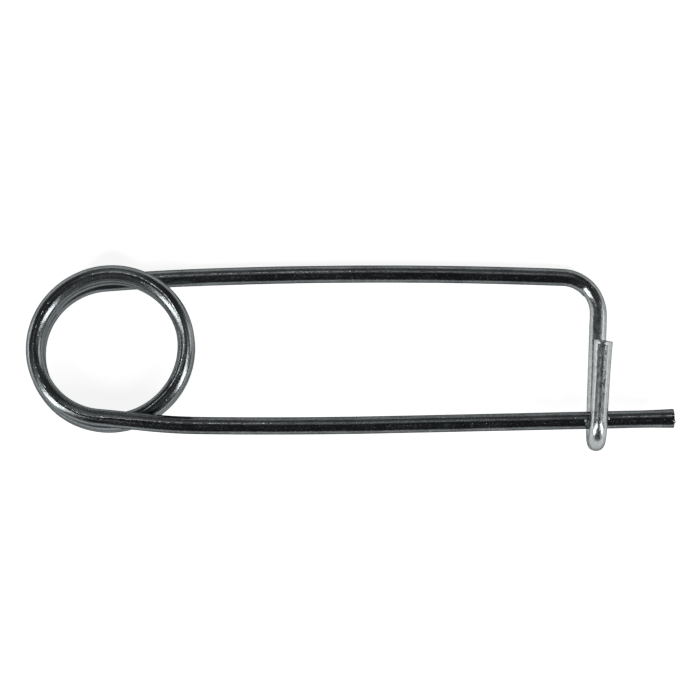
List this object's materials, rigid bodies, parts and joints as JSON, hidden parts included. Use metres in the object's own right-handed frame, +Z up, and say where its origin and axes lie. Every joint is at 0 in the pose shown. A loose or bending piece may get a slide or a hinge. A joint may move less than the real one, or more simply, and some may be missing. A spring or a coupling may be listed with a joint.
{
  "type": "coil-spring safety pin",
  "caption": "Industrial safety pin bent from one spring wire: a close-wound coil joins two long legs, and one leg ends in a hook that holds the other.",
  "frame": {"origin": "middle of the coil's eye, on the surface that the pin lies on", "axes": "+X runs from the coil along the legs to the end of the pin leg; +Y points to the leg that carries the hook; +Z is up, along the coil's axis"},
  "size_m": [0.1129, 0.0326, 0.0118],
  "materials": {
    "wire": "bright zinc plate over drawn spring wire, glossy"
  },
  "bodies": {
    "root": {"safety_pin": "wire"}
  },
  "joints": []
}
